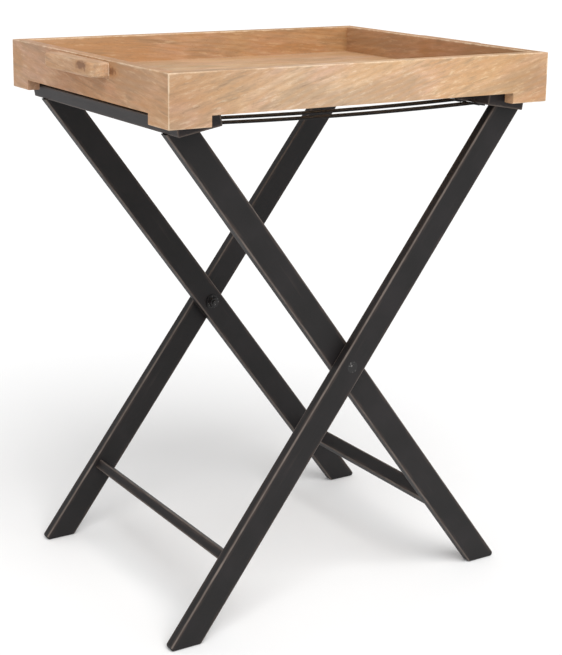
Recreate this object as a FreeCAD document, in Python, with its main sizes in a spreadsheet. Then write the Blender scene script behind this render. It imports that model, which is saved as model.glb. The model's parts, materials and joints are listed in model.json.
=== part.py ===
"""Folding tray table: a loose wooden tray on an X-shaped stand of two hinged leg frames.

Frame: millimetres, +X along the tray's long side, -Y is the front, +Z up, and the
origin is on the floor under the middle of the tray. The outer leg frame leans to +X
at its top and the inner one to -X. They turn on two bolts along Y.
"""
import FreeCAD
import Part
import Sketcher
import os
import re

# Driving dimensions: name, value in millimetres or degrees, what it is.
SIZES = {
    "tray_length": (550.0, "tray along X, outside"),
    "tray_width": (450.0, "tray along Y, outside"),
    "tray_height": (63.5, "height of the tray's boards"),
    "tray_level": (647.0, "height of the tray's corner feet above the floor"),
    "board_thickness": (16.5, "thickness of the four boards"),
    "board_edge_round": (1.2, "worn rounding on the boards' long edges"),
    "panel_thickness": (11.0, "thickness of the bottom panel"),
    "panel_lip": (2.0, "board left under the panel's groove"),
    "groove_depth": (5.5, "how far the panel is let into the boards"),
    "notch_height": (13.5, "height of the notches between the corner feet"),
    "end_foot": (55.0, "corner foot along X"),
    "side_foot": (50.0, "corner foot along Y"),
    "spline_thickness": (3.0, "hidden spline in each mitre"),
    "spline_width": (13.0, "spline across the mitre"),
    "spline_height": (30.0, "spline along Z"),
    "handle_length": (150.0, "handle along Y"),
    "handle_reach": (23.0, "handle out from the board"),
    "handle_height": (18.0, "handle along Z"),
    "handle_drop": (2.5, "handle's top below the rim"),
    "handle_corner": (17.0, "rounded outer corners in plan"),
    "handle_edge_round": (3.0, "rounded long edges"),
    "finger_length": (104.0, "finger groove along Y"),
    "finger_width": (10.0, "finger groove along X"),
    "finger_depth": (3.0, "finger groove up into the handle"),
    "dowel_radius": (3.0, "hidden dowels behind the handles"),
    "dowel_spacing": (84.0, "between a handle's two dowels"),
    "dowel_bite": (10.0, "dowel in the board, and in the handle"),
    "stand_play": (12.0, "between the stand and the tray's front and back boards"),
    "rail_play": (3.0, "between a top rail and the tray's side board"),
    "leg_width": (36.5, "wide face of a leg"),
    "leg_thickness": (14.5, "narrow face of a leg, along Y"),
    "leg_edge_round": (1.8, "rounding on the legs' long edges"),
    "toe_round": (4.0, "rounding of the legs' lower corners"),
    "pivot_height": (322.5, "pivot above the floor"),
    "rail_width": (58.0, "top rail across"),
    "rail_thickness": (18.0, "top rail thickness"),
    "rail_overhang": (9.0, "end of a top rail past the outer legs' outer faces"),
    "rail_tilt": (10.0, "rail's slope, inner edge up"),
    "rail_inset": (11.0, "rail's middle inwards of the leg's middle"),
    "rail_edge_round": (1.5, "rounding on the rails' long edges"),
    "rest_gap": (0.2, "tray panel above the rails' inner corners"),
    "stretcher_width": (21.5, "stretcher across the leg"),
    "stretcher_thickness": (13.0, "stretcher along the leg"),
    "stretcher_edge_round": (2.0, "rounding on the stretchers' long edges"),
    "stretcher_height": (94.5, "stretcher's middle above the floor"),
    "tenon_radius": (5.0, "stretcher's round tenon"),
    "tenon_length": (8.0, "tenon in the leg"),
    "bolt_radius": (4.0, "pivot bolt shank"),
    "bolt_clearance": (0.05, "radial running clearance in the inner leg"),
    "bolt_head_radius": (7.5, "countersunk bolt head"),
    "bolt_head_height": (3.5, "countersunk bolt head"),
    "bolt_end": (2.5, "bolt past its nut"),
    "spacer_thickness": (1.5, "washer between the legs"),
    "washer_radius": (10.0, "outside of the washers"),
    "face_gap": (0.3, "play between turning faces"),
    "washer_thickness": (1.5, "washer under the nut"),
    "nut_width": (13.0, "nut across flats"),
    "nut_height": (6.5, "nut along its axis"),
    "screw_radius": (2.2, "rail screw shank"),
    "screw_head_radius": (4.4, "rail screw head"),
    "screw_length": (38.0, "rail screw overall"),
    "screw_inset": (5.0, "rail screw inwards of the leg's middle"),
    "strap_width": (18.0, "webbing strap along Y"),
    "strap_thickness": (2.0, "webbing strap"),
    "strap_lap_gap": (3.0, "end of a strap's lap clear of the leg"),
    "strap_sag": (3.0, "strap's middle below its ends"),
    "strap_gap": (0.3, "strap below the rails' undersides"),
    "strap_pitch": (38.0, "between a pair of straps along Y"),
    "strap_leg_gap": (2.0, "first strap behind the front outer leg"),
    "tack_head_radius": (3.0, "strap tack head"),
    "tack_head_height": (0.8, "strap tack head"),
    "tack_radius": (1.0, "strap tack shank"),
    "tack_length": (11.0, "strap tack shank"),
    "tack_spacing": (7.5, "between a strap end's two tacks"),
}

# Lengths and places worked out from the driving dimensions.
DERIVED = {
    "half_length": "tray_length / 2",
    "half_width": "tray_width / 2",
    "rim": "tray_level + tray_height",
    "handle_top": "rim - handle_drop",
    "notch_top": "tray_level + notch_height",
    "panel_under": "notch_top + panel_lip",
    "tilt": "rail_tilt * 1 deg",
    "half_stand": "half_width - board_thickness - stand_play",
    "half_rail": "half_stand + rail_overhang",
    "outer_inside": "half_stand - leg_thickness",
    "inner_outside": "outer_inside - spacer_thickness - face_gap",
    "inner_inside": "inner_outside - leg_thickness",
    # Rail: the middle of its underside. Its outer corner fits inside the tray's side board.
    "rail_corner_z": "panel_under - rest_gap",
    "rail_mid_z": "rail_corner_z - rail_width / 2 * sin(tilt) - rail_thickness * cos(tilt)",
    "rail_out_x": "half_length - board_thickness - rail_play",
    "rail_mid_x": "rail_out_x - rail_width / 2 * cos(tilt) - rail_thickness * sin(tilt)",
    # Leg: its middle line runs from the pivot to this point on the rail's underside.
    "leg_end_x": "rail_mid_x + rail_inset * cos(tilt)",
    "leg_end_z": "rail_mid_z - rail_inset * sin(tilt)",
    "lean": "atan((leg_end_z - pivot_height) / leg_end_x)",
    "half_leg_across": "leg_width / (2 * sin(lean))",
    "toe_x": "pivot_height / tan(lean)",
    "leg_end_half": "half_leg_across / (1 + tan(tilt) / tan(lean))",
    "rail_in_x": "rail_mid_x - rail_width / 2 * cos(tilt)",
    "rail_in_z": "rail_mid_z + rail_width / 2 * sin(tilt)",
    "stretcher_x": "(pivot_height - stretcher_height) / tan(lean)",
    "strap_lap": "rail_width / 2 + rail_inset - leg_end_half / cos(tilt) - strap_lap_gap",
    "strap_in_x": "rail_in_x - strap_gap * sin(tilt)",
    "strap_in_z": "rail_in_z - strap_gap * cos(tilt)",
    "strap_first_y": "outer_inside - strap_leg_gap",
    "nut_face": "inner_inside - face_gap - washer_thickness",
}

SMALLEST_CUT = 1e-3     # cubic millimetres that a pocket has to remove at least
NEAR = 0.01             # an edge this close to a plane lies in it

doc = FreeCAD.newDocument("folding_tray_table")
sheet = doc.addObject("Spreadsheet::Sheet", "Sizes")
for row, (name, (number, meaning)) in enumerate(SIZES.items(), start=1):
    sheet.set(f"A{row}", name)
    sheet.set(f"B{row}", str(number))
    sheet.setAlias(f"B{row}", name)
    sheet.set(f"C{row}", meaning)
doc.recompute()


def bound(expression):
    """Expand the derived names and point each driving name at its cell."""
    def swap(match):
        word = match.group()
        if word in DERIVED:
            return f"({bound(DERIVED[word])})"
        return f"Sizes.{word}" if word in SIZES else word
    return re.sub(r"[a-z_]+", swap, expression)


def value(expression):
    """The number that an expression has now."""
    answer = sheet.evalExpression(bound(expression).replace("Sizes.", ""))
    return float(getattr(answer, "Value", answer))


def bind(item, prop, expression):
    item.setExpression(prop, bound(expression))


def place(item, x="0", y="0", z="0", turn_axis=(0, 0, 1), turn="0"):
    """Tie an object's place to the sheet; turn is in degrees."""
    item.Placement = FreeCAD.Placement(FreeCAD.Vector(), FreeCAD.Rotation(FreeCAD.Vector(*turn_axis), 1))
    for prop, expression in (("x", x), ("y", y), ("z", z)):
        bind(item, f".Placement.Base.{prop}", expression)
    bind(item, ".Placement.Rotation.Angle", f"({turn}) * 1 deg")
    return item


# ---- sketches and bodies ----

PLANES = {"XY": "XY_Plane", "XZ": "XZ_Plane", "YZ": "YZ_Plane"}


def new_body(label):
    body = doc.addObject("PartDesign::Body", label)
    body.Label = label
    return body


def outline(body, plane, corners, offset="0"):
    """A closed sketch of straight lines whose corners are tied to the sheet."""
    sketch = body.newObject("Sketcher::SketchObject", f"{body.Name}_outline")
    origin = [item for item in body.Origin.OriginFeatures if item.Role == PLANES[plane]][0]
    sketch.AttachmentSupport = (origin, [""])
    sketch.MapMode = "FlatFace"
    # The XZ plane's normal is -Y, so its offset is turned round.
    bind(sketch, ".AttachmentOffset.Base.z", f"-({offset})" if plane == "XZ" else offset)
    points = [FreeCAD.Vector(value(across), value(up), 0) for across, up in corners]
    count = len(points)
    for index in range(count):
        sketch.addGeometry(Part.LineSegment(points[index], points[(index + 1) % count]), False)
    for index in range(count):
        sketch.addConstraint(Sketcher.Constraint("Coincident", index, 2, (index + 1) % count, 1))
    for index, (across, up) in enumerate(corners):
        for kind, expression, number in (("DistanceX", across, points[index].x),
                                         ("DistanceY", up, points[index].y)):
            constraint = sketch.addConstraint(Sketcher.Constraint(kind, -1, 1, index, 1, number))
            bind(sketch, f"Constraints[{constraint}]", expression)
    return sketch


def pad(body, sketch, length, reverse=False):
    feature = body.newObject("PartDesign::Pad", f"{body.Name}_pad")
    feature.Profile = sketch
    feature.Reversed = reverse
    bind(feature, "Length", length)
    doc.recompute()
    return feature


def pocket(body, sketch, length=None, reverse=False):
    """Cut a sketch out, to a length one way or right through both ways."""
    before = body.Shape.Volume
    feature = body.newObject("PartDesign::Pocket", f"{body.Name}_pocket")
    feature.Profile = sketch
    if length is None:
        feature.Type = "ThroughAll"
        feature.Midplane = True
    else:
        feature.Reversed = reverse
        bind(feature, "Length", length)
    doc.recompute()
    if body.Shape.Volume > before - SMALLEST_CUT:
        raise RuntimeError(f"{body.Label}: a pocket cuts nothing")
    return feature


def round_edges(body, radius, wanted):
    """Fillet the edges of the body's last feature that the test picks."""
    tip = body.Tip
    names = [f"Edge{number}" for number, edge in enumerate(tip.Shape.Edges, start=1) if wanted(edge)]
    feature = body.newObject("PartDesign::Fillet", f"{body.Name}_round")
    feature.Base = (tip, names)
    bind(feature, "Radius", radius)
    doc.recompute()
    return feature


def ends(edge):
    return edge.Vertexes[0].Point, edge.Vertexes[-1].Point


def runs_along(edge, direction, tolerance=1e-4):
    if len(edge.Vertexes) < 2 or edge.Curve.TypeId != "Part::GeomLine":
        return False
    first, last = ends(edge)
    return (last - first).normalize().cross(FreeCAD.Vector(*direction)).Length < tolerance


# ---- primitives and booleans ----

def cylinder(name, radius, height, turn_axis, turn, x="0", y="0", z="0"):
    item = doc.addObject("Part::Cylinder", name)
    bind(item, "Radius", radius)
    bind(item, "Height", height)
    return place(item, x, y, z, turn_axis, turn)


def cone(name, low_radius, high_radius, height, turn_axis, turn, x="0", y="0", z="0"):
    item = doc.addObject("Part::Cone", name)
    bind(item, "Radius1", low_radius)
    bind(item, "Radius2", high_radius)
    bind(item, "Height", height)
    return place(item, x, y, z, turn_axis, turn)


def fuse(name, shapes):
    item = doc.addObject("Part::MultiFuse", name)
    item.Shapes = shapes
    return item


def gather(name, shapes):
    """Separate solids of one kind kept as one node."""
    item = doc.addObject("Part::Compound", name)
    item.Links = shapes
    return item


def cut(name, base, tools):
    item = doc.addObject("Part::Cut", name)
    item.Base = base
    item.Tool = tools[0] if len(tools) == 1 else gather(f"{name}_tools", tools)
    return item


nodes = {}


def node(name, item):
    item.Label = name
    nodes[name] = item
    return item


FORWARD = (1, 0, 0)     # turning about X by -90 points a primitive's axis along +Y
UPRIGHT = (0, 1, 0)     # turning about Y by t leans a primitive's axis towards +X


# ---- tray ----

def board(name, plan, notch_plane, notch, groove_plane, groove, long_way):
    """A mitred board with corner feet and a groove for the bottom panel."""
    body = new_body(f"{name}_body")
    pad(body, outline(body, "XY", plan, "tray_level"), "tray_height")
    pocket(body, outline(body, notch_plane, notch))
    pocket(body, outline(body, groove_plane, groove))
    rim = value("rim")
    level = value("tray_level")

    def worn(edge):
        height = edge.CenterOfMass.z
        return runs_along(edge, long_way) and (abs(height - rim) < NEAR or abs(height - level) < NEAR)
    round_edges(body, "board_edge_round", worn)
    return body


def end_board(name, side):
    """Front (side -1) or back (side 1) board, with its mitres in plan."""
    outside = f"{side} * half_width"
    inside = f"{side} * (half_width - board_thickness)"
    plan = [("-half_length", outside), ("half_length", outside),
            ("half_length - board_thickness", inside), ("board_thickness - half_length", inside)]
    notch_x = "half_length - end_foot"
    notch = [(f"-({notch_x})", "tray_level - 1"), (notch_x, "tray_level - 1"),
             (notch_x, "notch_top"), (f"-({notch_x})", "notch_top")]
    bottom = f"{side} * (half_width - board_thickness + groove_depth)"
    past = f"{side} * (half_width - board_thickness - 1)"
    groove = [(past, "panel_under"), (bottom, "panel_under"),
              (bottom, "panel_under + panel_thickness"), (past, "panel_under + panel_thickness")]
    return board(name, plan, "XZ", notch, "YZ", groove, (1, 0, 0))


def side_board(name, side):
    """Left (side -1) or right (side 1) board."""
    outside = f"{side} * half_length"
    inside = f"{side} * (half_length - board_thickness)"
    plan = [(outside, "-half_width"), (outside, "half_width"),
            (inside, "half_width - board_thickness"), (inside, "board_thickness - half_width")]
    notch_y = "half_width - side_foot"
    notch = [(f"-({notch_y})", "tray_level - 1"), (notch_y, "tray_level - 1"),
             (notch_y, "notch_top"), (f"-({notch_y})", "notch_top")]
    bottom = f"{side} * (half_length - board_thickness + groove_depth)"
    past = f"{side} * (half_length - board_thickness - 1)"
    groove = [(past, "panel_under"), (bottom, "panel_under"),
              (bottom, "panel_under + panel_thickness"), (past, "panel_under + panel_thickness")]
    return board(name, plan, "YZ", notch, "XZ", groove, (0, 1, 0))


def bottom_panel():
    body = new_body("tray_bottom_panel")
    half_x = "half_length - board_thickness + groove_depth"
    half_y = "half_width - board_thickness + groove_depth"
    corners = [(f"-({half_x})", f"-({half_y})"), (half_x, f"-({half_y})"),
               (half_x, half_y), (f"-({half_x})", half_y)]
    pad(body, outline(body, "XY", corners, "panel_under"), "panel_thickness")
    return node("tray_bottom_panel", body)


def corner_splines():
    """A thin hidden spline across each mitre, above the panel."""
    splines = {}
    for side_x in (-1, 1):
        for side_y in (-1, 1):
            name = f"spline_{'left' if side_x < 0 else 'right'}_{'front' if side_y < 0 else 'back'}"
            spline = doc.addObject("Part::Box", name)
            bind(spline, "Length", "spline_width")
            bind(spline, "Width", "spline_thickness")
            bind(spline, "Height", "spline_height")
            # The spline crosses the mitre at a right angle, so it turns 45 degrees the other way.
            turn = -45 if side_x == side_y else 45
            along = f"(spline_width / 2 * cos({turn} * 1 deg) - spline_thickness / 2 * sin({turn} * 1 deg))"
            across = f"(spline_width / 2 * sin({turn} * 1 deg) + spline_thickness / 2 * cos({turn} * 1 deg))"
            place(spline,
                  f"{side_x} * (half_length - board_thickness / 2) - {along}",
                  f"{side_y} * (half_width - board_thickness / 2) - {across}",
                  "panel_under + panel_thickness", (0, 0, 1), str(turn))
            splines[side_x, side_y] = spline
    return splines


def handle(name, side):
    """A block on the outside of a side board, a little below its rim."""
    body = new_body(f"{name}_body")
    near = f"{side} * half_length"
    far = f"{side} * (half_length + handle_reach)"
    plan = [(near, "-handle_length / 2"), (far, "-handle_length / 2"),
            (far, "handle_length / 2"), (near, "handle_length / 2")]
    pad(body, outline(body, "XY", plan, "handle_top - handle_height"), "handle_height")
    outer = value(far)
    round_edges(body, "handle_corner",
                lambda edge: runs_along(edge, (0, 0, 1)) and abs(edge.CenterOfMass.x - outer) < NEAR)
    middle = f"{side} * (half_length + handle_reach / 2)"
    groove = [(f"{middle} - finger_width / 2", "-finger_length / 2"),
              (f"{middle} + finger_width / 2", "-finger_length / 2"),
              (f"{middle} + finger_width / 2", "finger_length / 2"),
              (f"{middle} - finger_width / 2", "finger_length / 2")]
    pocket(body, outline(body, "XY", groove, "handle_top - handle_height"), "finger_depth", reverse=True)
    board_face = value(near)

    def outside(edge):
        height = edge.CenterOfMass.z
        level = any(abs(height - value(face)) < NEAR for face in ("handle_top", "handle_top - handle_height"))
        on_board = abs(edge.CenterOfMass.x - board_face) < NEAR
        in_groove = (abs(edge.CenterOfMass.x - value(middle)) < value("finger_width / 2") + NEAR
                     and abs(edge.CenterOfMass.y) < value("finger_length / 2") + NEAR)
        return level and not on_board and not in_groove
    round_edges(body, "handle_edge_round", outside)
    return body


def handle_dowels(side):
    dowels = []
    for end in (-1, 1):
        dowels.append(cylinder(
            f"dowel_{'left' if side < 0 else 'right'}_{'front' if end < 0 else 'back'}",
            "dowel_radius", "2 * dowel_bite", (0, 1, 0), "90",
            f"{side} * half_length - dowel_bite", f"{end} * dowel_spacing / 2", "handle_top - handle_height / 2"))
    return dowels


def make_tray():
    splines = corner_splines()
    node("corner_splines", gather("corner_splines", list(splines.values())))
    for name, side_y in (("tray_front_board", -1), ("tray_back_board", 1)):
        tools = [splines[-1, side_y], splines[1, side_y]]
        node(name, cut(name, end_board(name, side_y), tools))
    all_dowels = []
    for name, side in (("left", -1), ("right", 1)):
        dowels = handle_dowels(side)
        all_dowels += dowels
        tools = [splines[side, -1], splines[side, 1]] + dowels
        node(f"tray_{name}_board", cut(f"tray_{name}_board", side_board(f"tray_{name}_board", side), tools))
        node(f"handle_{name}", cut(f"handle_{name}", handle(f"handle_{name}", side), dowels))
    node("handle_dowels", gather("handle_dowels", all_dowels))
    bottom_panel()


# ---- stand ----
# lean_way is 1 for the outer frame, whose top leans to +X, and -1 for the inner frame.

def leg(name, lean_way, low_y):
    """A leg from the floor to the underside of its top rail, along Y from low_y."""
    body = new_body(f"{name}_body")
    corners = [("-toe_x - half_leg_across", "0"), ("half_leg_across - toe_x", "0"),
               ("leg_end_x + leg_end_half", "leg_end_z - leg_end_half * tan(tilt)"),
               ("leg_end_x - leg_end_half", "leg_end_z + leg_end_half * tan(tilt)")]
    profile = [(f"{lean_way} * ({across})", up) for across, up in corners]
    pad(body, outline(body, "XZ", profile, low_y), "leg_thickness", reverse=True)
    round_edges(body, "toe_round", lambda edge: runs_along(edge, (0, 1, 0)) and abs(edge.CenterOfMass.z) < NEAR)
    lean = value("lean")
    along = FreeCAD.Rotation(FreeCAD.Vector(0, 1, 0), -lean * lean_way).multVec(FreeCAD.Vector(lean_way, 0, 0))
    round_edges(body, "leg_edge_round", lambda edge: runs_along(edge, tuple(along)))
    return body


def stretcher(name, lean_way, half_gap):
    """A flat bar between a frame's legs, square to them, with a round tenon in each."""
    body = new_body(f"{name}_body")
    corners = []
    for across, along in ((-1, -1), (-1, 1), (1, 1), (1, -1)):
        half_across = f"{across} * stretcher_width / 2"
        half_along = f"{along} * stretcher_thickness / 2"
        corners.append((f"{half_along} * cos(lean) - {half_across} * sin(lean) - stretcher_x",
                        f"stretcher_height + {half_along} * sin(lean) + {half_across} * cos(lean)"))
    profile = [(f"{lean_way} * ({across})", up) for across, up in corners]
    pad(body, outline(body, "XZ", profile, f"-({half_gap})"), f"2 * ({half_gap})", reverse=True)
    round_edges(body, "stretcher_edge_round", lambda edge: runs_along(edge, (0, 1, 0)))
    tenons = cylinder(f"{name}_tenons", "tenon_radius", f"2 * ({half_gap} + tenon_length)", FORWARD, "-90",
                      f"-{lean_way} * stretcher_x", f"-({half_gap}) - tenon_length", "stretcher_height")
    return node(name, fuse(name, [body, tenons])), tenons


def rail(name, lean_way):
    """A flat top rail on the ends of a frame's legs, its inner edge up."""
    body = new_body(f"{name}_body")
    half = "rail_width / 2"
    corners = [
        (f"rail_mid_x - {half} * cos(tilt)", f"rail_mid_z + {half} * sin(tilt)"),
        (f"rail_mid_x + {half} * cos(tilt)", f"rail_mid_z - {half} * sin(tilt)"),
        (f"rail_mid_x + {half} * cos(tilt) + rail_thickness * sin(tilt)",
         f"rail_mid_z - {half} * sin(tilt) + rail_thickness * cos(tilt)"),
        (f"rail_mid_x - {half} * cos(tilt) + rail_thickness * sin(tilt)",
         f"rail_mid_z + {half} * sin(tilt) + rail_thickness * cos(tilt)")]
    profile = [(f"{lean_way} * ({across})", up) for across, up in corners]
    pad(body, outline(body, "XZ", profile, "-half_rail"), "2 * half_rail", reverse=True)
    round_edges(body, "rail_edge_round", lambda edge: runs_along(edge, (0, 1, 0)))
    return body


def rail_screw(name, lean_way, y):
    """A countersunk screw square to the rail, down into the end of a leg."""
    turn = f"{lean_way} * rail_tilt"
    down_x = f"{lean_way} * sin(tilt)"
    # The point on the rail's top face above the screw's place in the leg's end.
    top_x = f"{lean_way} * (leg_end_x - screw_inset * cos(tilt) + rail_thickness * sin(tilt))"
    top_z = "leg_end_z + screw_inset * sin(tilt) + rail_thickness * cos(tilt)"
    head = "(screw_head_radius - screw_radius)"
    shank = cylinder(f"{name}_shank", "screw_radius", "screw_length", UPRIGHT, turn,
                     f"{top_x} - screw_length * {down_x}", y, f"{top_z} - screw_length * cos(tilt)")
    taper = cone(f"{name}_taper", "screw_radius", "screw_head_radius", head, UPRIGHT, turn,
                 f"{top_x} - {head} * {down_x}", y, f"{top_z} - {head} * cos(tilt)")
    return fuse(name, [shank, taper])


def strap_tacks(name, lean_way):
    """Short tacks that hold the four straps to the underside of a rail."""
    tacks = []
    lap = "(strap_lap / 2)"
    under = "(strap_gap + strap_thickness)"
    for strap, y in enumerate(STRAP_PLACES, start=1):
        for side in (-1, 1):
            tag = f"{name}_{strap}_{'front' if side < 0 else 'back'}"
            # Middle of the lap, on the strap's lower face.
            x = f"{lean_way} * (rail_in_x + {lap} * cos(tilt) - {under} * sin(tilt))"
            z = f"rail_in_z - {lap} * sin(tilt) - {under} * cos(tilt)"
            tack_y = f"{y} + {side} * tack_spacing / 2"
            turn = f"{lean_way} * rail_tilt"
            shank = cylinder(f"{tag}_shank", "tack_radius", "tack_length", UPRIGHT, turn, x, tack_y, z)
            head = cylinder(f"{tag}_head", "tack_head_radius", "tack_head_height", UPRIGHT, turn,
                            f"{x} - {lean_way} * tack_head_height * sin(tilt)", tack_y,
                            f"{z} - tack_head_height * cos(tilt)")
            tacks.append(fuse(tag, [shank, head]))
    return tacks


# Middle of each strap along Y: a pair near the front legs and a pair near the back.
FIRST_STRAP = "(strap_first_y - strap_width / 2)"
STRAP_PLACES = [f"-{FIRST_STRAP}", f"-({FIRST_STRAP} - strap_pitch)",
                f"({FIRST_STRAP} - strap_pitch)", FIRST_STRAP]


def strap(number, y):
    """A webbing strap from rail to rail, lapped under both and sagging a little between."""
    name = f"strap_{number}"
    body = new_body(f"{name}_body")
    lap_x = "strap_in_x + strap_lap * cos(tilt)"
    lap_z = "strap_in_z - strap_lap * sin(tilt)"
    low_x = "strap_thickness * sin(tilt)"
    low_z = "strap_thickness * cos(tilt)"
    upper = [(f"-({lap_x})", lap_z), ("-strap_in_x", "strap_in_z"), ("0", "strap_in_z - strap_sag"),
             ("strap_in_x", "strap_in_z"), (lap_x, lap_z)]
    lower = [(f"{lap_x} - {low_x}", f"{lap_z} - {low_z}"), ("strap_in_x", "strap_in_z - strap_thickness"),
             ("0", "strap_in_z - strap_sag - strap_thickness"), ("-strap_in_x", "strap_in_z - strap_thickness"),
             (f"{low_x} - ({lap_x})", f"{lap_z} - {low_z}")]
    pad(body, outline(body, "XZ", upper + lower, f"{y} - strap_width / 2"), "strap_width", reverse=True)
    return name, body


def pivot_hardware(end):
    """Bolt, washers and nut at the front (end -1) or back (end 1) pivot."""
    way = "front" if end < 0 else "back"
    # A bolt's axis points inwards, from the outer leg's face to its nut.
    turn = "-90" if end < 0 else "90"

    def ring(name, outer_radius, inner_radius, thickness, start):
        outside = cylinder(f"{name}_{way}_rim", outer_radius, thickness, FORWARD, turn, "0", start, "pivot_height")
        inside = cylinder(f"{name}_{way}_bore", inner_radius, thickness, FORWARD, turn, "0", start, "pivot_height")
        return cut(f"{name}_{way}", outside, [inside])

    length = "(half_stand - nut_face + nut_height + bolt_end)"
    shank = cylinder(f"bolt_{way}_shank", "bolt_radius", length, FORWARD, turn,
                     "0", f"{end} * half_stand", "pivot_height")
    taper = cone(f"bolt_{way}_taper", "bolt_head_radius", "bolt_radius", "bolt_head_height", FORWARD, turn,
                 "0", f"{end} * half_stand", "pivot_height")
    bolt = fuse(f"bolt_{way}", [shank, taper])
    spacer = ring("spacer", "washer_radius", "bolt_radius", "spacer_thickness", f"{end} * outer_inside")
    washer = ring("washer", "washer_radius", "bolt_radius", "washer_thickness",
                  f"{end} * (inner_inside - face_gap)")
    flats = doc.addObject("Part::Prism", f"nut_{way}_flats")
    flats.Polygon = 6
    bind(flats, "Circumradius", "nut_width / (2 * cos(30 * 1 deg))")
    bind(flats, "Height", "nut_height")
    place(flats, "0", f"{end} * nut_face", "pivot_height", FORWARD, turn)
    bore = cylinder(f"nut_{way}_bore", "bolt_radius", "nut_height", FORWARD, turn,
                    "0", f"{end} * nut_face", "pivot_height")
    nut = cut(f"nut_{way}", flats, [bore])
    return bolt, spacer, washer, nut


def make_stand():
    ends_of_stand = {-1: "front", 1: "back"}
    hardware = {end: pivot_hardware(end) for end in ends_of_stand}
    for name, index in (("pivot_bolts", 0), ("pivot_spacers", 1), ("pivot_washers", 2), ("pivot_nuts", 3)):
        node(name, gather(name, [hardware[end][index] for end in ends_of_stand]))

    frames = {
        "outer": (1, "half_stand", "outer_inside"),
        "inner": (-1, "inner_outside", "inner_inside"),
    }
    all_tacks = []
    for frame, (lean_way, outside, inside) in frames.items():
        bar, tenons = stretcher(f"{frame}_stretcher", lean_way, inside)
        screws = []
        for end, way in ends_of_stand.items():
            screw = rail_screw(f"{frame}_screw_{way}", lean_way, f"{end} * ({outside} - leg_thickness / 2)")
            screws.append(screw)
            hole = hardware[end][0] if frame == "outer" else cylinder(
                f"{frame}_bore_{way}", "bolt_radius + bolt_clearance", "leg_thickness",
                FORWARD, "-90", "0", f"-({outside})" if end < 0 else inside, "pivot_height")
            low_y = f"-({outside})" if end < 0 else inside
            name = f"{frame}_leg_{way}"
            node(name, cut(name, leg(name, lean_way, low_y), [hole, tenons, screw]))
        node(f"{frame}_rail_screws", gather(f"{frame}_rail_screws", screws))
        tacks = strap_tacks(f"{frame}_tack", lean_way)
        all_tacks += tacks
        node(f"{frame}_strap_tacks", gather(f"{frame}_strap_tacks", tacks))
        name = f"{frame}_top_rail"
        node(name, cut(name, rail(name, lean_way), screws + tacks))
    for number, y in enumerate(STRAP_PLACES, start=1):
        name, body = strap(number, y)
        node(name, cut(name, body, all_tacks))


def write_steps():
    """Check every object and every node, then write one STEP file a node."""
    doc.recompute()
    failed = [item.Name for item in doc.Objects if "Invalid" in item.State or "Error" in item.State]
    if failed:
        raise RuntimeError(f"failed objects: {failed}")
    for name, item in nodes.items():
        shape = item.Shape
        if shape.isNull() or not shape.isValid() or not shape.Solids:
            raise RuntimeError(f"{name}: no valid solid")
    os.makedirs("parts", exist_ok=True)
    for name, item in nodes.items():
        item.Shape.exportStep(f"parts/{name}.step")
        box = item.Shape.optimalBoundingBox()
        print(f"{name}: {len(item.Shape.Solids)} solids, "
              f"x {box.XMin:.1f}..{box.XMax:.1f} y {box.YMin:.1f}..{box.YMax:.1f} z {box.ZMin:.1f}..{box.ZMax:.1f}")


make_tray()
make_stand()
write_steps()
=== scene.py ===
"""Looks of the folding tray table: mango wood tray, black painted stand, webbing straps."""
import json
import math

import bpy
from mathutils import Matrix, Vector


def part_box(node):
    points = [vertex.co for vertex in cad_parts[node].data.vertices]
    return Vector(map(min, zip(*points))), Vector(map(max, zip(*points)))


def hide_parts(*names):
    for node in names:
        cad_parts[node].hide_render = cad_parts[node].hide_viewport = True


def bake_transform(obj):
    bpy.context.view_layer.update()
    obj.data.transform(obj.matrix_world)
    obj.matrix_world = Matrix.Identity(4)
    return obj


MM = 0.001
RAIL_TILT = math.radians(10)

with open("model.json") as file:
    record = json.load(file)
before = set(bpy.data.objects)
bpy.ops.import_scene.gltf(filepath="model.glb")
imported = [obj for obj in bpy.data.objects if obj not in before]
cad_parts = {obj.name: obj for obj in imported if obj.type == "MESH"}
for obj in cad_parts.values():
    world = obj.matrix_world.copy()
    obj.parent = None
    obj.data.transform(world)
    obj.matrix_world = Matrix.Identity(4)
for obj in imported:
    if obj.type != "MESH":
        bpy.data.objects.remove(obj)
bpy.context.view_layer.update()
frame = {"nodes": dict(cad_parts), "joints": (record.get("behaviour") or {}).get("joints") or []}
nodes = frame["nodes"]


def middle_and_half(name):
    """A node's middle and half of its size along X, Y and Z."""
    low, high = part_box(name)
    return (low + high) / 2, (high - low) / 2


# ---- shader maths ----

class Value:
    """A socket that carries a number; Python's operators add Math nodes to it."""

    def __init__(self, finish, socket):
        self.finish = finish
        self.socket = socket

    def __add__(self, other):
        return self.finish.math("ADD", self, other)

    def __sub__(self, other):
        return self.finish.math("SUBTRACT", self, other)

    def __rsub__(self, other):
        return self.finish.math("SUBTRACT", other, self)

    def __mul__(self, other):
        return self.finish.math("MULTIPLY", self, other)

    def __truediv__(self, other):
        return self.finish.math("DIVIDE", self, other)

    def __pow__(self, power):
        return self.finish.math("POWER", self, power)

    def __abs__(self):
        return self.finish.math("ABSOLUTE", self)

    __radd__ = __add__
    __rmul__ = __mul__

    def more(self, other):
        return self.finish.math("MAXIMUM", self, other)

    def wave(self):
        """A sine of the number, from 0 to 1."""
        return self.finish.math("SINE", self) * 0.5 + 0.5

    def fade(self, start, end):
        """0 at start and 1 at end, smooth between."""
        return self.finish.node("ShaderNodeMapRange", {"interpolation_type": "SMOOTHSTEP"},
                                {"Value": self, "From Min": start, "From Max": end})


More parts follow.
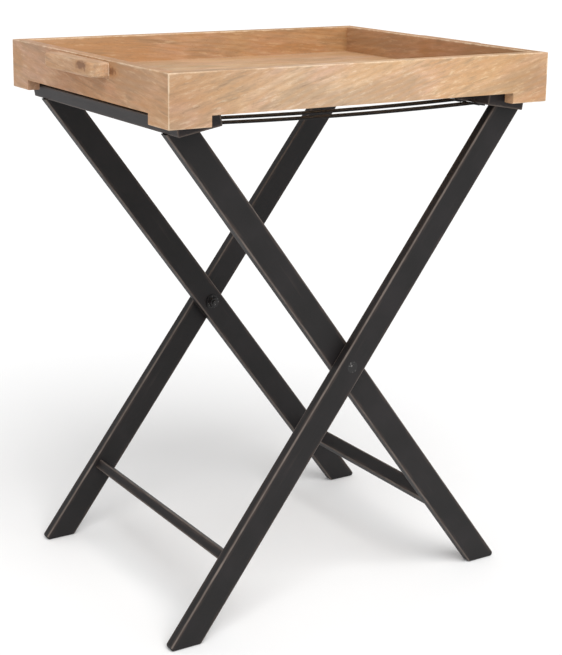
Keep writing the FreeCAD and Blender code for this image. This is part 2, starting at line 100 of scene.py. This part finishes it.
class Finish:
    """A material and the few kinds of node that it is made of."""

    def __init__(self, name, **constants):
        self.material = bpy.data.materials.new(name)
        self.material.use_nodes = True
        self.tree = self.material.node_tree
        self.shader = self.tree.nodes["Principled BSDF"]
        for socket, number in constants.items():
            self.shader.inputs[socket.replace("_", " ")].default_value = number
        self.place = self.node("ShaderNodeTexCoord", output="Object")

    def node(self, kind, settings=None, inputs=None, output=0):
        """Add a node, make its settings, then give its sockets values or links."""
        made = self.tree.nodes.new(kind)
        for setting, choice in (settings or {}).items():
            if setting == "stops":
                self.set_stops(made.color_ramp, choice)
            else:
                setattr(made, setting, choice)
        for socket, given in (inputs or {}).items():
            if isinstance(given, Value):
                self.tree.links.new(given.socket, made.inputs[socket])
            else:
                made.inputs[socket].default_value = given
        return Value(self, made.outputs[output])

    def set_stops(self, ramp, stops):
        while len(ramp.elements) < len(stops):
            ramp.elements.new(0.5)
        for element, (position, colour) in zip(ramp.elements, stops):
            element.position = position
            element.color = (*colour, 1)

    def math(self, operation, *numbers):
        return self.node("ShaderNodeMath", {"operation": operation}, dict(enumerate(numbers)))

    def mapped(self, location=(0, 0, 0), turn=(0, 0, 0), scale=(1, 1, 1), vector=None):
        """The place, moved, turned and stretched."""
        return self.node("ShaderNodeMapping", None, {
            "Vector": vector or self.place, "Location": location, "Rotation": turn, "Scale": scale})

    def split(self, vector):
        return [self.node("ShaderNodeSeparateXYZ", None, {0: vector}, output=axis) for axis in range(3)]

    def noise(self, vector, scale, detail=3.0, roughness=0.5, distortion=0.0):
        return self.node("ShaderNodeTexNoise", None, {
            "Vector": vector, "Scale": scale, "Detail": detail, "Roughness": roughness,
            "Distortion": distortion})

    def cells(self, vector, scale):
        return self.node("ShaderNodeTexVoronoi", None, {"Vector": vector, "Scale": scale})

    def ramp(self, number, stops):
        return self.node("ShaderNodeValToRGB", {"stops": stops}, {0: number})

    def mix(self, share, first, second, blend="MIX"):
        """Two colours in the given share; a colour is a tuple or a link."""
        pair = [given if isinstance(given, Value) else (*given, 1) for given in (first, second)]
        return self.node("ShaderNodeMix", {"data_type": "RGBA", "blend_type": blend},
                         {0: share, 6: pair[0], 7: pair[1]}, output=2)

    def feed(self, socket, given):
        self.tree.links.new(given.socket, self.shader.inputs[socket])

    def relief(self, height, depth):
        """Bump of the given depth in metres."""
        self.feed("Normal", self.node("ShaderNodeBump", None, {
            "Strength": 1.0, "Distance": depth, "Height": height}))

    def edge_distance(self, middle, half, lean=0.0):
        """How far a point on a bar's face is from the nearest of its long edges and ends.
        The bar is turned about Y by lean, and half holds its half sizes in its own axes."""
        centred = self.mapped(location=-middle)
        turned = self.mapped(turn=(0, lean, 0), vector=centred)
        gaps = [extent - abs(along) for along, extent in zip(self.split(turned), half)]
        longest = gaps[0].more(gaps[1]).more(gaps[2])
        return gaps[0] + gaps[1] + gaps[2] - longest


def paint(name, finish):
    """Give a piece one finish all over."""
    piece = nodes[name] if isinstance(name, str) else name
    piece.data.materials.clear()
    piece.data.materials.append(finish.material)


# ---- mango wood ----

STRAW = (0.640, 0.440, 0.270)
HONEY = (0.500, 0.275, 0.120)
ROSE = (0.600, 0.380, 0.255)
OLIVE = (0.370, 0.255, 0.155)
UMBER = (0.200, 0.095, 0.045)
CREAM = (0.830, 0.680, 0.490)

ALONG_X = (0.0, 0.0, 0.0)
ALONG_Y = (0.0, 0.0, math.radians(-90))


def mango_wood(name, grain, pith, ring_gap=7 * MM, figure_lean=4.0, warmth=0.5, tone_and_painted_shade=0.0,
               wear=None, dark_spots=(), drift=None):
    """Waxed mango wood. pith is a point on the heart of the log that the board was cut from,
    figure_lean, in degrees, is how far the log's axis leans from the board's, and drift is how
    the tone changes along the board: where it starts and ends, and its colours between."""
    finish = Finish(name, Specular_IOR_Level=0.35)
    lean = math.radians(figure_lean)
    centred = finish.mapped(location=-Vector(pith))
    board = finish.mapped(turn=grain, vector=centred)
    log = finish.mapped(turn=(0, lean, lean * 0.6), vector=board)
    along, across, deep = finish.split(log)

    # The rings, pushed about by slow and by finer waves in the growth.
    slow = finish.noise(finish.mapped(scale=(3.0, 9, 9), vector=log), 1.0, 2.0, 0.5)
    fine = finish.noise(finish.mapped(scale=(10, 60, 60), vector=log), 1.0, 3.0, 0.55)
    radius = (across * across + deep * deep) ** 0.5
    rings = (radius + slow * 0.070 + fine * 0.007) * (2 * math.pi / ring_gap)
    late_wood = rings.wave() ** 2.0

    # Broad patches of honey, rose and olive that follow the grain.
    patch = finish.noise(finish.mapped(scale=(4.5, 13, 13), vector=log), 1.0, 3.0, 0.6, 0.8)
    tint_place = finish.mapped(location=(3, 5, 7), scale=(5.5, 20, 20), vector=log)
    tint = finish.noise(tint_place, 1.0, 3.0, 0.55, 0.5)
    colour = finish.mix(patch.fade(0.40, 0.60), STRAW, ROSE)
    colour = finish.mix(tint.fade(0.44, 0.62) * warmth, colour, HONEY)
    colour = finish.mix(tint.fade(0.49, 0.36) * 0.60, colour, OLIVE)
    colour = finish.mix(late_wood * 0.42, colour, HONEY)

    # Fine fibres, darker streaks and open pores.
    fibre = finish.noise(finish.mapped(scale=(26, 620, 620), vector=log), 1.0, 2.0, 0.6)
    streak = finish.noise(finish.mapped(location=(1, 2, 3), scale=(6, 120, 120), vector=log), 1.0, 3.0, 0.62)
    colour = finish.mix(fibre.fade(0.38, 0.72) * 0.34, colour, OLIVE)
    colour = finish.mix(streak.fade(0.54, 0.68) * 0.70, colour, OLIVE)
    colour = finish.mix(streak.fade(0.64, 0.76) * 0.45, colour, UMBER)
    fleck = finish.noise(finish.mapped(location=(7, 1, 4), scale=(34, 250, 250), vector=log), 1.0, 4.0, 0.72)
    colour = finish.mix(fleck.fade(0.50, 0.68) * 0.50, colour, OLIVE)
    colour = finish.mix(fleck.fade(0.46, 0.32) * 0.34, colour, CREAM)
    pores = finish.cells(finish.mapped(scale=(95, 900, 900), vector=log), 1.0).fade(0.20, 0.06)
    colour = finish.mix(pores * 0.45, colour, UMBER)
    height = fibre * 0.5 - pores * 0.7 - late_wood * 0.25

    # Dark spots: a dark heart drawn out along the grain, with a honey ring round it. The one on the left
    # board is painted shadow, not a mark in the wood.
    for spot, size in dark_spots:
        drawn = finish.mapped(turn=grain, vector=finish.mapped(location=-Vector(spot)))
        gap = finish.node("ShaderNodeVectorMath", {"operation": "LENGTH"},
                          {0: finish.mapped(scale=(0.55, 1.0, 1.3), vector=drawn)}, output="Value")
        curl = finish.noise(finish.place, 160.0, 3.0, 0.6)
        ragged = gap + (curl - 0.5) * size * 1.6
        colour = finish.mix(ragged.fade(size * 1.8, size * 0.5) * 0.60, colour, HONEY)
        colour = finish.mix(ragged.fade(size * 0.95, size * 0.30) * 0.85, colour, UMBER)

    # A slow cloud of honey over the board, plus an even darkening toward honey all over it. That darkening is
    # partly the wood's own deeper tone and partly painted shade for the left and right boards, whose seen
    # faces lie away from the key light.
    cloud = finish.noise(finish.place, 11.0, 2.0, 0.5)
    colour = finish.mix(cloud.fade(0.3, 0.8) * 0.20 + tone_and_painted_shade, colour, HONEY)
    if drift:
        start, end, tones = drift
        way = finish.split(finish.mapped(turn=grain, vector=finish.place))[0]
        wander = way + (slow - 0.5) * 0.25
        spread = [(index / (len(tones) - 1), tone) for index, tone in enumerate(tones)]
        share = (wander - start) * (1 / (end - start))
        colour = finish.mix(1.0, colour, finish.ramp(share, spread), "MULTIPLY")

    # Handled edges are paler where the wax is rubbed off.
    if wear:
        broken = finish.noise(finish.place, 70.0, 4.0, 0.65)
        patchy = finish.noise(finish.place, 16.0, 2.0, 0.5)
        edge = finish.edge_distance(*wear)
        rubbed = (edge + broken * 4.5 * MM + patchy * 2.0 * MM).fade(5.2 * MM, 2.6 * MM)
        colour = finish.mix(rubbed * 0.62, colour, CREAM)
    finish.feed("Base Color", colour)
    finish.feed("Roughness", 0.50 + fibre * 0.16 + cloud * 0.08)
    finish.relief(height, 0.25 * MM)
    return finish


def dress_tray():
    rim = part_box("tray_front_board")[1].z
    front_middle, front_half = middle_and_half("tray_front_board")
    back_middle, back_half = middle_and_half("tray_back_board")
    left_middle, left_half = middle_and_half("tray_left_board")
    right_middle, right_half = middle_and_half("tray_right_board")
    panel_middle, _ = middle_and_half("tray_bottom_panel")
    handle_middle, handle_half = middle_and_half("handle_left")
    other_middle, other_half = middle_and_half("handle_right")

    length = front_half.x
    width = left_half.y
    # Painted shadow: a dark spot on the left board's outer face just past the handle's near end, where the
    # handle's shadow falls.
    handle_shadow_spot = Vector((left_middle.x - left_half.x, -handle_half.y - 5 * MM, rim - 12 * MM))
    paint("tray_front_board", mango_wood(
        "mango_wood_front", ALONG_X, front_middle + Vector((0.10, 0.05, -0.16)), ring_gap=9 * MM,
        figure_lean=14, warmth=0.45, wear=(front_middle, front_half),
        drift=(-length, length, [(0.80, 0.76, 0.76), (0.86, 0.86, 0.88), (0.98, 1.0, 1.06), (1.0, 0.99, 0.96),
                                 (0.99, 0.97, 0.90), (0.86, 0.80, 0.74)])))
    paint("tray_back_board", mango_wood(
        "mango_wood_back", ALONG_X, back_middle + Vector((0, -0.04, 0.12)), ring_gap=8 * MM,
        figure_lean=-4, warmth=0.7, tone_and_painted_shade=0.10, wear=(back_middle, back_half),
        drift=(-length, length, [(0.98, 0.97, 0.98), (0.94, 0.90, 0.86),
                                 (0.86, 0.76, 0.64), (0.80, 0.68, 0.52)])))
    paint("tray_left_board", mango_wood(
        "mango_wood_left", ALONG_Y, left_middle + Vector((0.05, 0.02, -0.09)), ring_gap=8 * MM,
        figure_lean=8, warmth=0.8, tone_and_painted_shade=0.10, wear=(left_middle, left_half), dark_spots=[(handle_shadow_spot, 9 * MM)],
        drift=(-width, width, [(0.90, 0.84, 0.80), (0.84, 0.70, 0.60),
                               (0.82, 0.70, 0.64), (0.86, 0.82, 0.84)])))
    paint("tray_right_board", mango_wood(
        "mango_wood_right", ALONG_Y, right_middle + Vector((0.04, 0, 0.10)), ring_gap=8 * MM,
        figure_lean=-5, warmth=0.8, tone_and_painted_shade=0.12, wear=(right_middle, right_half),
        drift=(-width, width, [(0.82, 0.74, 0.66), (0.82, 0.70, 0.60), (0.84, 0.74, 0.66)])))
    paint("tray_bottom_panel", mango_wood(
        "mango_wood_panel", ALONG_X, panel_middle + Vector((0, 0.06, -0.10)), ring_gap=11 * MM,
        figure_lean=3, warmth=0.6, tone_and_painted_shade=0.05,
        drift=(-length, length, [(0.90, 0.88, 0.86), (0.96, 0.94, 0.90), (0.86, 0.80, 0.74)])))
    handle_tones = [(0.88, 0.82, 0.80), (0.84, 0.78, 0.76), (0.86, 0.76, 0.70)]
    grip = handle_half.y
    # A dark crescent on the left handle's outer face toward its near end, drawn as a dark spot drawn out
    # along the grain.
    dark_crescent = Vector((handle_middle.x - handle_half.x, handle_middle.y - 0.60 * grip, handle_middle.z + 4 * MM))
    paint("handle_left", mango_wood(
        "mango_wood_handle_left", ALONG_Y, handle_middle + Vector((0.03, 0.02, -0.05)), warmth=0.5,
        wear=(handle_middle, handle_half), dark_spots=[(dark_crescent, 11 * MM)], drift=(-grip, grip, handle_tones)))
    paint("handle_right", mango_wood(
        "mango_wood_handle_right", ALONG_Y, other_middle + Vector((0.03, -0.02, -0.06)), warmth=0.6,
        wear=(other_middle, other_half), drift=(-grip, grip, handle_tones)))
    joint_wood = mango_wood("mango_wood_joints", ALONG_X, panel_middle)
    paint("corner_splines", joint_wood)
    paint("handle_dowels", joint_wood)


# ---- black paint ----

BLACK = (0.009, 0.008, 0.008)
CHARCOAL = (0.018, 0.015, 0.016)
RUBBED = (0.170, 0.138, 0.118)
BARE = (0.075, 0.052, 0.042)


def black_paint(name, middle, half, lean, body=BLACK, rub=1.0):
    """Thin black paint on a bar of open-grained wood, rubbed brown along its edges."""
    finish = Finish(name, Specular_IOR_Level=0.26)
    bar = finish.mapped(turn=(0, lean, 0), vector=finish.mapped(location=-middle))
    long_way = max(range(3), key=lambda axis: half[axis])

    def drawn_out(along, across):
        scale = [along if axis == long_way else across for axis in range(3)]
        return finish.mapped(scale=scale, vector=bar)

    grain = finish.noise(drawn_out(9, 210), 1.0, 3.0, 0.6)
    cloud = finish.noise(bar, 16.0, 3.0, 0.55)
    broken = finish.noise(drawn_out(22, 130), 1.0, 4.0, 0.65)
    edge = finish.edge_distance(middle, half, lean)
    colour = finish.mix(cloud.fade(0.35, 0.75) * 0.6, body, CHARCOAL)
    colour = finish.mix(grain.fade(0.60, 0.80) * 0.22, colour, BARE)
    colour = finish.mix(edge.fade(6.0 * MM, 1.5 * MM) * broken.fade(0.42, 0.66) * 0.5 * rub, colour, BARE)
    worn = (edge + broken * 3.6 * MM).fade(4.2 * MM, 2.2 * MM)
    colour = finish.mix(worn * 0.85 * rub, colour, RUBBED)
    finish.feed("Base Color", colour)
    finish.feed("Roughness", 0.46 + cloud * 0.12 + worn * 0.12)
    finish.relief(grain - worn * 0.6, 0.22 * MM)
    return finish


def dress_stand():
    front_low, front_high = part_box("outer_leg_front")
    pivot_z = frame["joints"][0]["pos_m"][2]
    leg_half_width = 18.25 * MM
    past_ends = 30 * MM     # the legs' level cuts are beyond their square ends, and aren't rubbed
    rail_half = Vector((29 * MM, 0, 9 * MM))
    stretcher_half = Vector((6.5 * MM, 0, 10.75 * MM))
    stretcher_low, stretcher_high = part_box("outer_stretcher")
    stretcher_middle = (stretcher_low + stretcher_high) / 2
    lean = math.atan2(pivot_z - stretcher_middle.z, -stretcher_middle.x)
    leg_length = front_high.z / math.sin(lean)
    leg_bar = Vector((leg_length / 2 + past_ends, (front_high.y - front_low.y) / 2, leg_half_width))

    for which, way in (("outer", 1), ("inner", -1)):
        for end in ("front", "back"):
            name = f"{which}_leg_{end}"
            middle, _ = middle_and_half(name)
            bar_middle = Vector((0, middle.y, pivot_z))
            paint(name, black_paint(f"black_paint_{name}", bar_middle, leg_bar, way * lean))
        # The rails are painted the lighter charcoal all over, with less rubbing on their edges.
        name = f"{which}_top_rail"
        middle, half = middle_and_half(name)
        paint(name, black_paint(f"black_paint_{name}", middle, Vector((rail_half.x, half.y, rail_half.z)),
                                -way * RAIL_TILT, body=CHARCOAL, rub=0.6))
        name = f"{which}_stretcher"
        middle, half = middle_and_half(name)
        bar = Vector((stretcher_half.x, half.y, stretcher_half.z))
        paint(name, black_paint(f"black_paint_{name}", middle, bar, way * lean))


# ---- metal ----

def zinc(name, tone=0.52):
    """Zinc-plated steel with a faint crystal spangle and dull scratches."""
    finish = Finish(name, Metallic=1.0)
    spangle = finish.cells(finish.place, 900.0)
    haze = finish.noise(finish.place, 350.0, 3.0, 0.6)
    finish.feed("Base Color", finish.mix(spangle.fade(0.1, 0.6), (tone, tone, tone * 1.02),
                                         (tone * 0.72, tone * 0.73, tone * 0.76)))
    finish.feed("Roughness", 0.30 + haze * 0.22)
    finish.relief(haze, 0.05 * MM)
    return finish


def bolt_paint(name):
    """Black paint on steel, chipped to bare metal in small spots."""
    finish = Finish(name, Specular_IOR_Level=0.4)
    chips = finish.noise(finish.place, 420.0, 4.0, 0.65).fade(0.60, 0.66)
    finish.feed("Base Color", finish.mix(chips, BLACK, (0.30, 0.29, 0.28)))
    finish.feed("Metallic", chips)
    finish.feed("Roughness", 0.42 - chips * 0.1)
    finish.relief(chips * -1.0, 0.06 * MM)
    return finish


def dress_hardware():
    plated = zinc("zinc_plate")
    for name in ("outer_rail_screws", "inner_rail_screws", "outer_strap_tacks", "inner_strap_tacks"):
        paint(name, plated)
    painted = bolt_paint("bolt_paint")
    for name in ("pivot_bolts", "pivot_spacers", "pivot_washers", "pivot_nuts"):
        paint(name, painted)


# ---- webbing straps ----

def webbing(name):
    """Black woven webbing, with a herringbone of ribs that follows the strap."""
    finish = Finish(name, Specular_IOR_Level=0.2, Sheen_Weight=0.15, Sheen_Roughness=0.4)
    cloth = finish.node("ShaderNodeUVMap", {"uv_map": "webbing"})
    along, across, _ = finish.split(cloth)
    folded = abs(finish.math("PINGPONG", across, 3.5 * MM))
    ribs = ((along + folded * 0.6) * (2 * math.pi / (1.3 * MM))).wave()
    warp = (across * (2 * math.pi / (1.0 * MM))).wave()
    dust = finish.noise(finish.mapped(scale=(60, 300, 1), vector=cloth), 1.0, 3.0, 0.6)
    weave = ribs * 0.7 + warp * 0.3
    colour = finish.mix(weave, (0.008, 0.008, 0.009), (0.030, 0.029, 0.030))
    finish.feed("Base Color", finish.mix(dust.fade(0.5, 0.8) * 0.3, colour, (0.060, 0.055, 0.050)))
    finish.feed("Roughness", 0.72 + weave * 0.15)
    finish.relief(weave, 0.30 * MM)
    return finish


STRAP_THICKNESS = 1.9 * MM
STRAP_SAG = 3.0 * MM
STRAP_SPANS = 24


def strap_route(turn_x, top, middle_y, lap):
    """Points down the middle of a strap: up under one rail, across with a sag, down under the other."""
    slope_x, slope_z = math.cos(RAIL_TILT), math.sin(RAIL_TILT)
    route = [Vector((turn_x + lap * share * slope_x, 0, top - lap * share * slope_z)) for share in (1.0, 0.5)]
    for step in range(STRAP_SPANS + 1):
        share = step / STRAP_SPANS * 2 - 1
        route.append(Vector((-share * turn_x, 0, top - STRAP_SAG * (1 - share * share))))
    route += [Vector((-point.x, 0, point.z)) for point in reversed(route[:2])]
    return [point + Vector((0, middle_y, 0)) for point in route]


def make_straps():
    cloth = webbing("black_webbing")
    turn_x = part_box("outer_top_rail")[0].x
    for number in (1, 2, 3, 4):
        node = f"strap_{number}"
        low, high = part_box(node)
        top = high.z - 0.1 * MM - STRAP_THICKNESS / 2
        width = (high.y - low.y) - 0.4 * MM
        lap = (high.x - turn_x) / math.cos(RAIL_TILT) - 0.6 * MM
        route = strap_route(turn_x, top, (low.y + high.y) / 2, lap)

        bpy.ops.object.select_all(action="DESELECT")
        first_run = MM
        bpy.ops.mesh.primitive_plane_add(size=1, location=(route[0] + Vector((first_run / 2, 0, 0))))
        piece = bpy.context.object
        piece.name = f"webbing_strap_{number}"
        bpy.ops.object.mode_set(mode="EDIT")
        bpy.ops.transform.resize(value=(first_run, width, 1))
        bpy.ops.mesh.select_mode(type="EDGE")
        bpy.ops.mesh.select_all(action="DESELECT")
        bpy.ops.object.mode_set(mode="OBJECT")
        for edge in piece.data.edges:
            ends = [piece.data.vertices[index].co.x for index in edge.vertices]
            edge.select = max(ends) < 0
        bpy.ops.object.mode_set(mode="EDIT")
        for start, end in zip(route, route[1:]):
            bpy.ops.mesh.extrude_region_move(TRANSFORM_OT_translate={"value": end - start})
        bpy.ops.object.mode_set(mode="OBJECT")
        bpy.ops.object.transform_apply(location=True, rotation=True, scale=True)
        lay_uv(piece, width)
        finish_strap(piece)
        paint(piece, cloth)
        bpy.ops.object.shade_smooth_by_angle(angle=math.radians(50))
        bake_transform(piece)
        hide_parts(node)


def lay_uv(piece, width):
    """UVs in metres: U along the strap and V across it."""
    layer = piece.data.uv_layers.new(name="webbing")
    middle = sum((vertex.co.y for vertex in piece.data.vertices)) / len(piece.data.vertices)
    for loop in piece.data.loops:
        place = piece.data.vertices[loop.vertex_index].co
        layer.data[loop.index].uv = (place.x, place.y - middle + width / 2)


def finish_strap(piece):
    solid = piece.modifiers.new("cloth thickness", "SOLIDIFY")
    solid.thickness = STRAP_THICKNESS
    solid.offset = 0
    rounded = piece.modifiers.new("soft edges", "BEVEL")
    rounded.width = 0.35 * MM
    rounded.segments = 2
    rounded.limit_method = "ANGLE"
    for modifier in (solid.name, rounded.name):
        bpy.ops.object.modifier_apply(modifier=modifier)


# ---- floor, light and camera ----

def make_stage():
    bpy.ops.object.select_all(action="DESELECT")
    bpy.ops.mesh.primitive_plane_add(size=80, location=(0, 0, -0.5 * MM))
    floor = bpy.context.object
    floor.name = "floor"
    pale = Finish("pale_floor", Roughness=1.0, Specular_IOR_Level=0.0)
    pale.shader.inputs["Base Color"].default_value = (0.86, 0.86, 0.86, 1)
    floor.data.materials.append(pale.material)

    world = bpy.data.worlds.new("soft daylight")
    world.use_nodes = True
    background = world.node_tree.nodes["Background"]
    background.inputs["Color"].default_value = (1.0, 1.0, 1.0, 1)
    background.inputs["Strength"].default_value = 0.66
    bpy.context.scene.world = world

    for name, strength, toward, softness in (("key light", 2.4, (0.12, 0.80, -0.95), 50),
                                             ("side light", 0.25, (0.9, 0.25, -0.5), 60)):
        light = bpy.data.lights.new(name, "SUN")
        light.energy = strength
        light.angle = math.radians(softness)
        lamp = bpy.data.objects.new(name, light)
        lamp.rotation_euler = Vector(toward).to_track_quat("-Z", "Y").to_euler()
        bpy.context.scene.collection.objects.link(lamp)
    bpy.context.scene.view_settings.view_transform = "Standard"


def make_camera():
    azimuth = math.radians(32.04)
    down = math.radians(12.48)
    roll = math.radians(0.71)
    lens = bpy.data.cameras.new("camera")
    lens.lens = 82.0
    lens.sensor_width = 36
    lens.shift_y = -0.149
    camera = bpy.data.objects.new("camera", lens)
    turn = (Matrix.Rotation(-azimuth, 4, "Z") @ Matrix.Rotation(math.pi / 2 - down, 4, "X")
            @ Matrix.Rotation(roll, 4, "Z"))
    camera.matrix_world = Matrix.Translation((-1.0343, -1.6748, 0.8978)) @ turn
    bpy.context.scene.collection.objects.link(camera)
    bpy.context.scene.camera = camera


make_stage()
make_camera()
dress_tray()
dress_stand()
dress_hardware()
make_straps()
